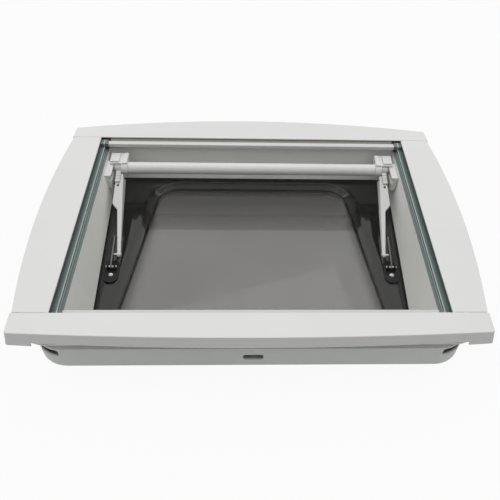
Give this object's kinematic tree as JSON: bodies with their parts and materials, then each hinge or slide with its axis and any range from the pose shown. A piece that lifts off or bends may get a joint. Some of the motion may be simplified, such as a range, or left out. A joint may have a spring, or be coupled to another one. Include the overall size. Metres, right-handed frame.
{
  "type": "camper roof hatch",
  "caption": "Hinged roof hatch with a smoked double dome, trim covers, two slide-out blinds in side guides and a round lift handle on pivoting arms.",
  "frame": {"origin": "under the middle of the part, on the plane that the dome's plateau rests on", "axes": "+X along the long side, +Y towards the handle side, -Y towards the hinges, +Z towards the vehicle's inside, so the dome opens towards -Z"},
  "size_m": [0.8, 0.572, 0.1579],
  "materials": {
    "white_trim": "satin white moulded plastic",
    "inner_wall": "fine matt grain",
    "outer_frame": "light grey, fine grain",
    "guide_grey": "extruded, dull",
    "catch_beige": "satin",
    "slider_nylon": "dull",
    "smoked_acrylic": "polished smoked acrylic",
    "seal_rubber": "soft",
    "black_fitting": "fine grain",
    "bright_steel": "bright",
    "link_steel": "stamped",
    "tube_white": "gloss white coating",
    "button_grey": "satin",
    "blackout_fabric": "pleated, coated",
    "screen_fabric": "pleated mesh"
  },
  "bodies": {
    "frame": {"inner_frame": "inner_wall", "outer_frame": "outer_frame", "cover_front": "white_trim", "cover_back": "white_trim", "cover_left": "white_trim", "cover_right": "white_trim", "guide_rail_left": "guide_grey", "guide_rail_right": "guide_grey", "catch_left": "catch_beige", "catch_right": "catch_beige", "frame_screws": "bright_steel", "dome_seal": "seal_rubber", "hinge_frame_leaf_left": "black_fitting", "hinge_frame_leaf_right": "black_fitting", "hinge_pins": "bright_steel", "hinge_frame_screws": "bright_steel", "catch_screws": "bright_steel", "blackout_anchor_bar": "guide_grey", "flyscreen_anchor_bar": "guide_grey", "blackout_pleats": "blackout_fabric", "flyscreen_pleats": "screen_fabric"},
    "blackout_blind": {"blackout_end_rail": "white_trim", "blackout_sliders": "slider_nylon"},
    "flyscreen_blind": {"flyscreen_end_rail": "guide_grey", "flyscreen_sliders": "slider_nylon"},
    "dome": {"dome_inner_skin": "smoked_acrylic", "dome_outer_skin": "smoked_acrylic", "hinge_dome_leaf_left": "black_fitting", "hinge_dome_leaf_right": "black_fitting", "bracket_left": "black_fitting", "bracket_right": "black_fitting", "bracket_pads": "seal_rubber", "bracket_pins": "bright_steel", "bracket_screws": "bright_steel", "hinge_dome_screws": "bright_steel"},
    "arms": {"arm_left": "white_trim", "arm_right": "white_trim", "arm_link_left": "link_steel", "arm_link_right": "link_steel", "arm_rivets": "bright_steel"},
    "handle": {"handle_tube": "tube_white", "end_block_left": "white_trim", "end_block_right": "white_trim", "pivot_clips": "bright_steel"},
    "lock_left": {"lock_button_left": "button_grey"},
    "lock_right": {"lock_button_right": "button_grey"}
  },
  "joints": [
    {"name": "dome_hinge", "type": "hinge", "parent": "frame", "child": "dome", "pos_m": [0, -0.254, 0.0395], "axis": [-1, 0, 0], "range_deg": [0, 60]},
    {"name": "arm_pivot", "type": "hinge", "parent": "dome", "child": "arms", "pos_m": [0, -0.051, 0.0515], "axis": [1, 0, 0], "range_deg": [0, 117]},
    {"name": "handle_pivot", "type": "hinge", "parent": "arms", "child": "handle", "pos_m": [0, 0.178, 0.11], "axis": [-1, 0, 0], "range_deg": [0, 57]},
    {"name": "blackout_slide", "type": "slide", "parent": "frame", "child": "blackout_blind", "axis": [0, -1, 0], "range_m": [0, 0.43], "deforming": ["blackout_pleats"]},
    {"name": "flyscreen_slide", "type": "slide", "parent": "frame", "child": "flyscreen_blind", "axis": [0, 1, 0], "range_m": [0, 0.43], "deforming": ["flyscreen_pleats"]},
    {"name": "lock_left_press", "type": "slide", "parent": "handle", "child": "lock_left", "axis": [1, 0, 0], "range_m": [0, 0.005], "stiffness_N_per_m": 400},
    {"name": "lock_right_press", "type": "slide", "parent": "handle", "child": "lock_right", "axis": [-1, 0, 0], "range_m": [0, 0.005], "stiffness_N_per_m": 400}
  ],
  "couplings": [
    {"joint": "arm_pivot", "follows": "dome_hinge", "ratio": 1.95},
    {"joint": "handle_pivot", "follows": "dome_hinge", "ratio": 0.95}
  ]
}
